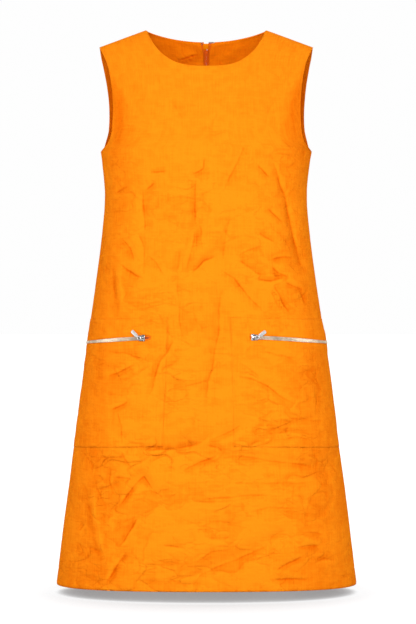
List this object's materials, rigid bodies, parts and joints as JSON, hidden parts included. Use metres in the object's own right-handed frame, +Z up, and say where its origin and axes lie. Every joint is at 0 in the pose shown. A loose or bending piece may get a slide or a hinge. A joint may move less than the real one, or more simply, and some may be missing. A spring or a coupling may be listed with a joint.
{
  "type": "sleeveless a-line dress, worn and hollow",
  "caption": "Sleeveless A-line shift dress with a round neck, zipped patch pockets at the side seams and a zip down the back; hangs from the wearer's shoulders.",
  "frame": {"origin": "midway between the inner ends of the two shoulder seams, where the dress hangs from the wearer", "axes": "+Z up; the front faces -Y; the wearer's left side is +X"},
  "size_m": [0.4896, 0.282, 0.9067],
  "materials": {
    "linen": "plain linen weave, orange, matt",
    "zip_tape": "woven tape, deep orange",
    "zip_coil": "spiral coil, dark red orange",
    "nickel": "polished nickel",
    "painted_zip": "orange enamel"
  },
  "bodies": {
    "dress": {"front_panel": "linen", "back_left_panel": "linen", "back_right_panel": "linen", "pocket_left": "linen", "pocket_tape_left": "zip_tape", "pocket_slider_left": "nickel", "pocket_teeth_left": "nickel", "pocket_right": "linen", "pocket_tape_right": "zip_tape", "pocket_slider_right": "nickel", "pocket_teeth_right": "nickel", "back_tape_left": "zip_tape", "back_tape_right": "zip_tape", "back_coil": "zip_coil", "back_slider": "painted_zip", "back_hook": "nickel", "back_eye": "nickel"},
    "left_pull": {"pull_ring_left": "nickel", "pull_bar_left": "nickel"},
    "right_pull": {"pull_ring_right": "nickel", "pull_bar_right": "nickel"},
    "back_pull": {"back_tab": "painted_zip"}
  },
  "joints": [
    {"name": "left_pull_swing", "type": "hinge", "parent": "dress", "child": "left_pull", "pos_m": [-0.10298, -0.12778, -0.5037], "axis": [-0.0336, 0.0631, 0.9974], "range_deg": [0, 165]},
    {"name": "right_pull_swing", "type": "hinge", "parent": "dress", "child": "right_pull", "pos_m": [0.07863, -0.13519, -0.50254], "axis": [-0.0326, -0.0475, -0.9983], "range_deg": [0, 165]},
    {"name": "back_pull_swing", "type": "hinge", "parent": "dress", "child": "back_pull", "pos_m": [0, 0.06254, -0.01674], "axis": [1, 0, 0], "range_deg": [0, 165]}
  ]
}
